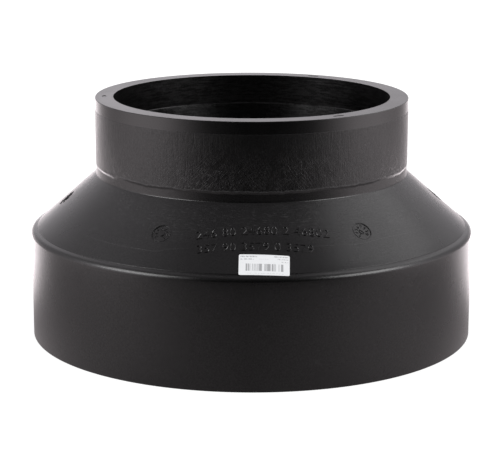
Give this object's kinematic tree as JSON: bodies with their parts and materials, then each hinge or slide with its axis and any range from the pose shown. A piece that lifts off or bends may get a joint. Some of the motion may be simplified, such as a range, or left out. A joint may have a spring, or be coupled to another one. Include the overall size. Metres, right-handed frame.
{
  "type": "pipe reducer",
  "caption": "Concentric butt-fusion reducer in black polyethylene: a wide plain spigot, a cone and a narrower plain spigot, open right through, with a paper label.",
  "frame": {"origin": "centre of the large end's face, on the pipe axis", "axes": "+Z along the pipe axis from the large end to the small end, -Y towards the label, +X to the right seen from the label"},
  "size_m": [0.355, 0.355, 0.191],
  "materials": {
    "black_polyethylene": "moulded and turned, satin",
    "label_paper": "coated, printed in grey"
  },
  "bodies": {
    "root": {"reducer_body": "black_polyethylene", "barcode_label": "label_paper"}
  },
  "joints": []
}
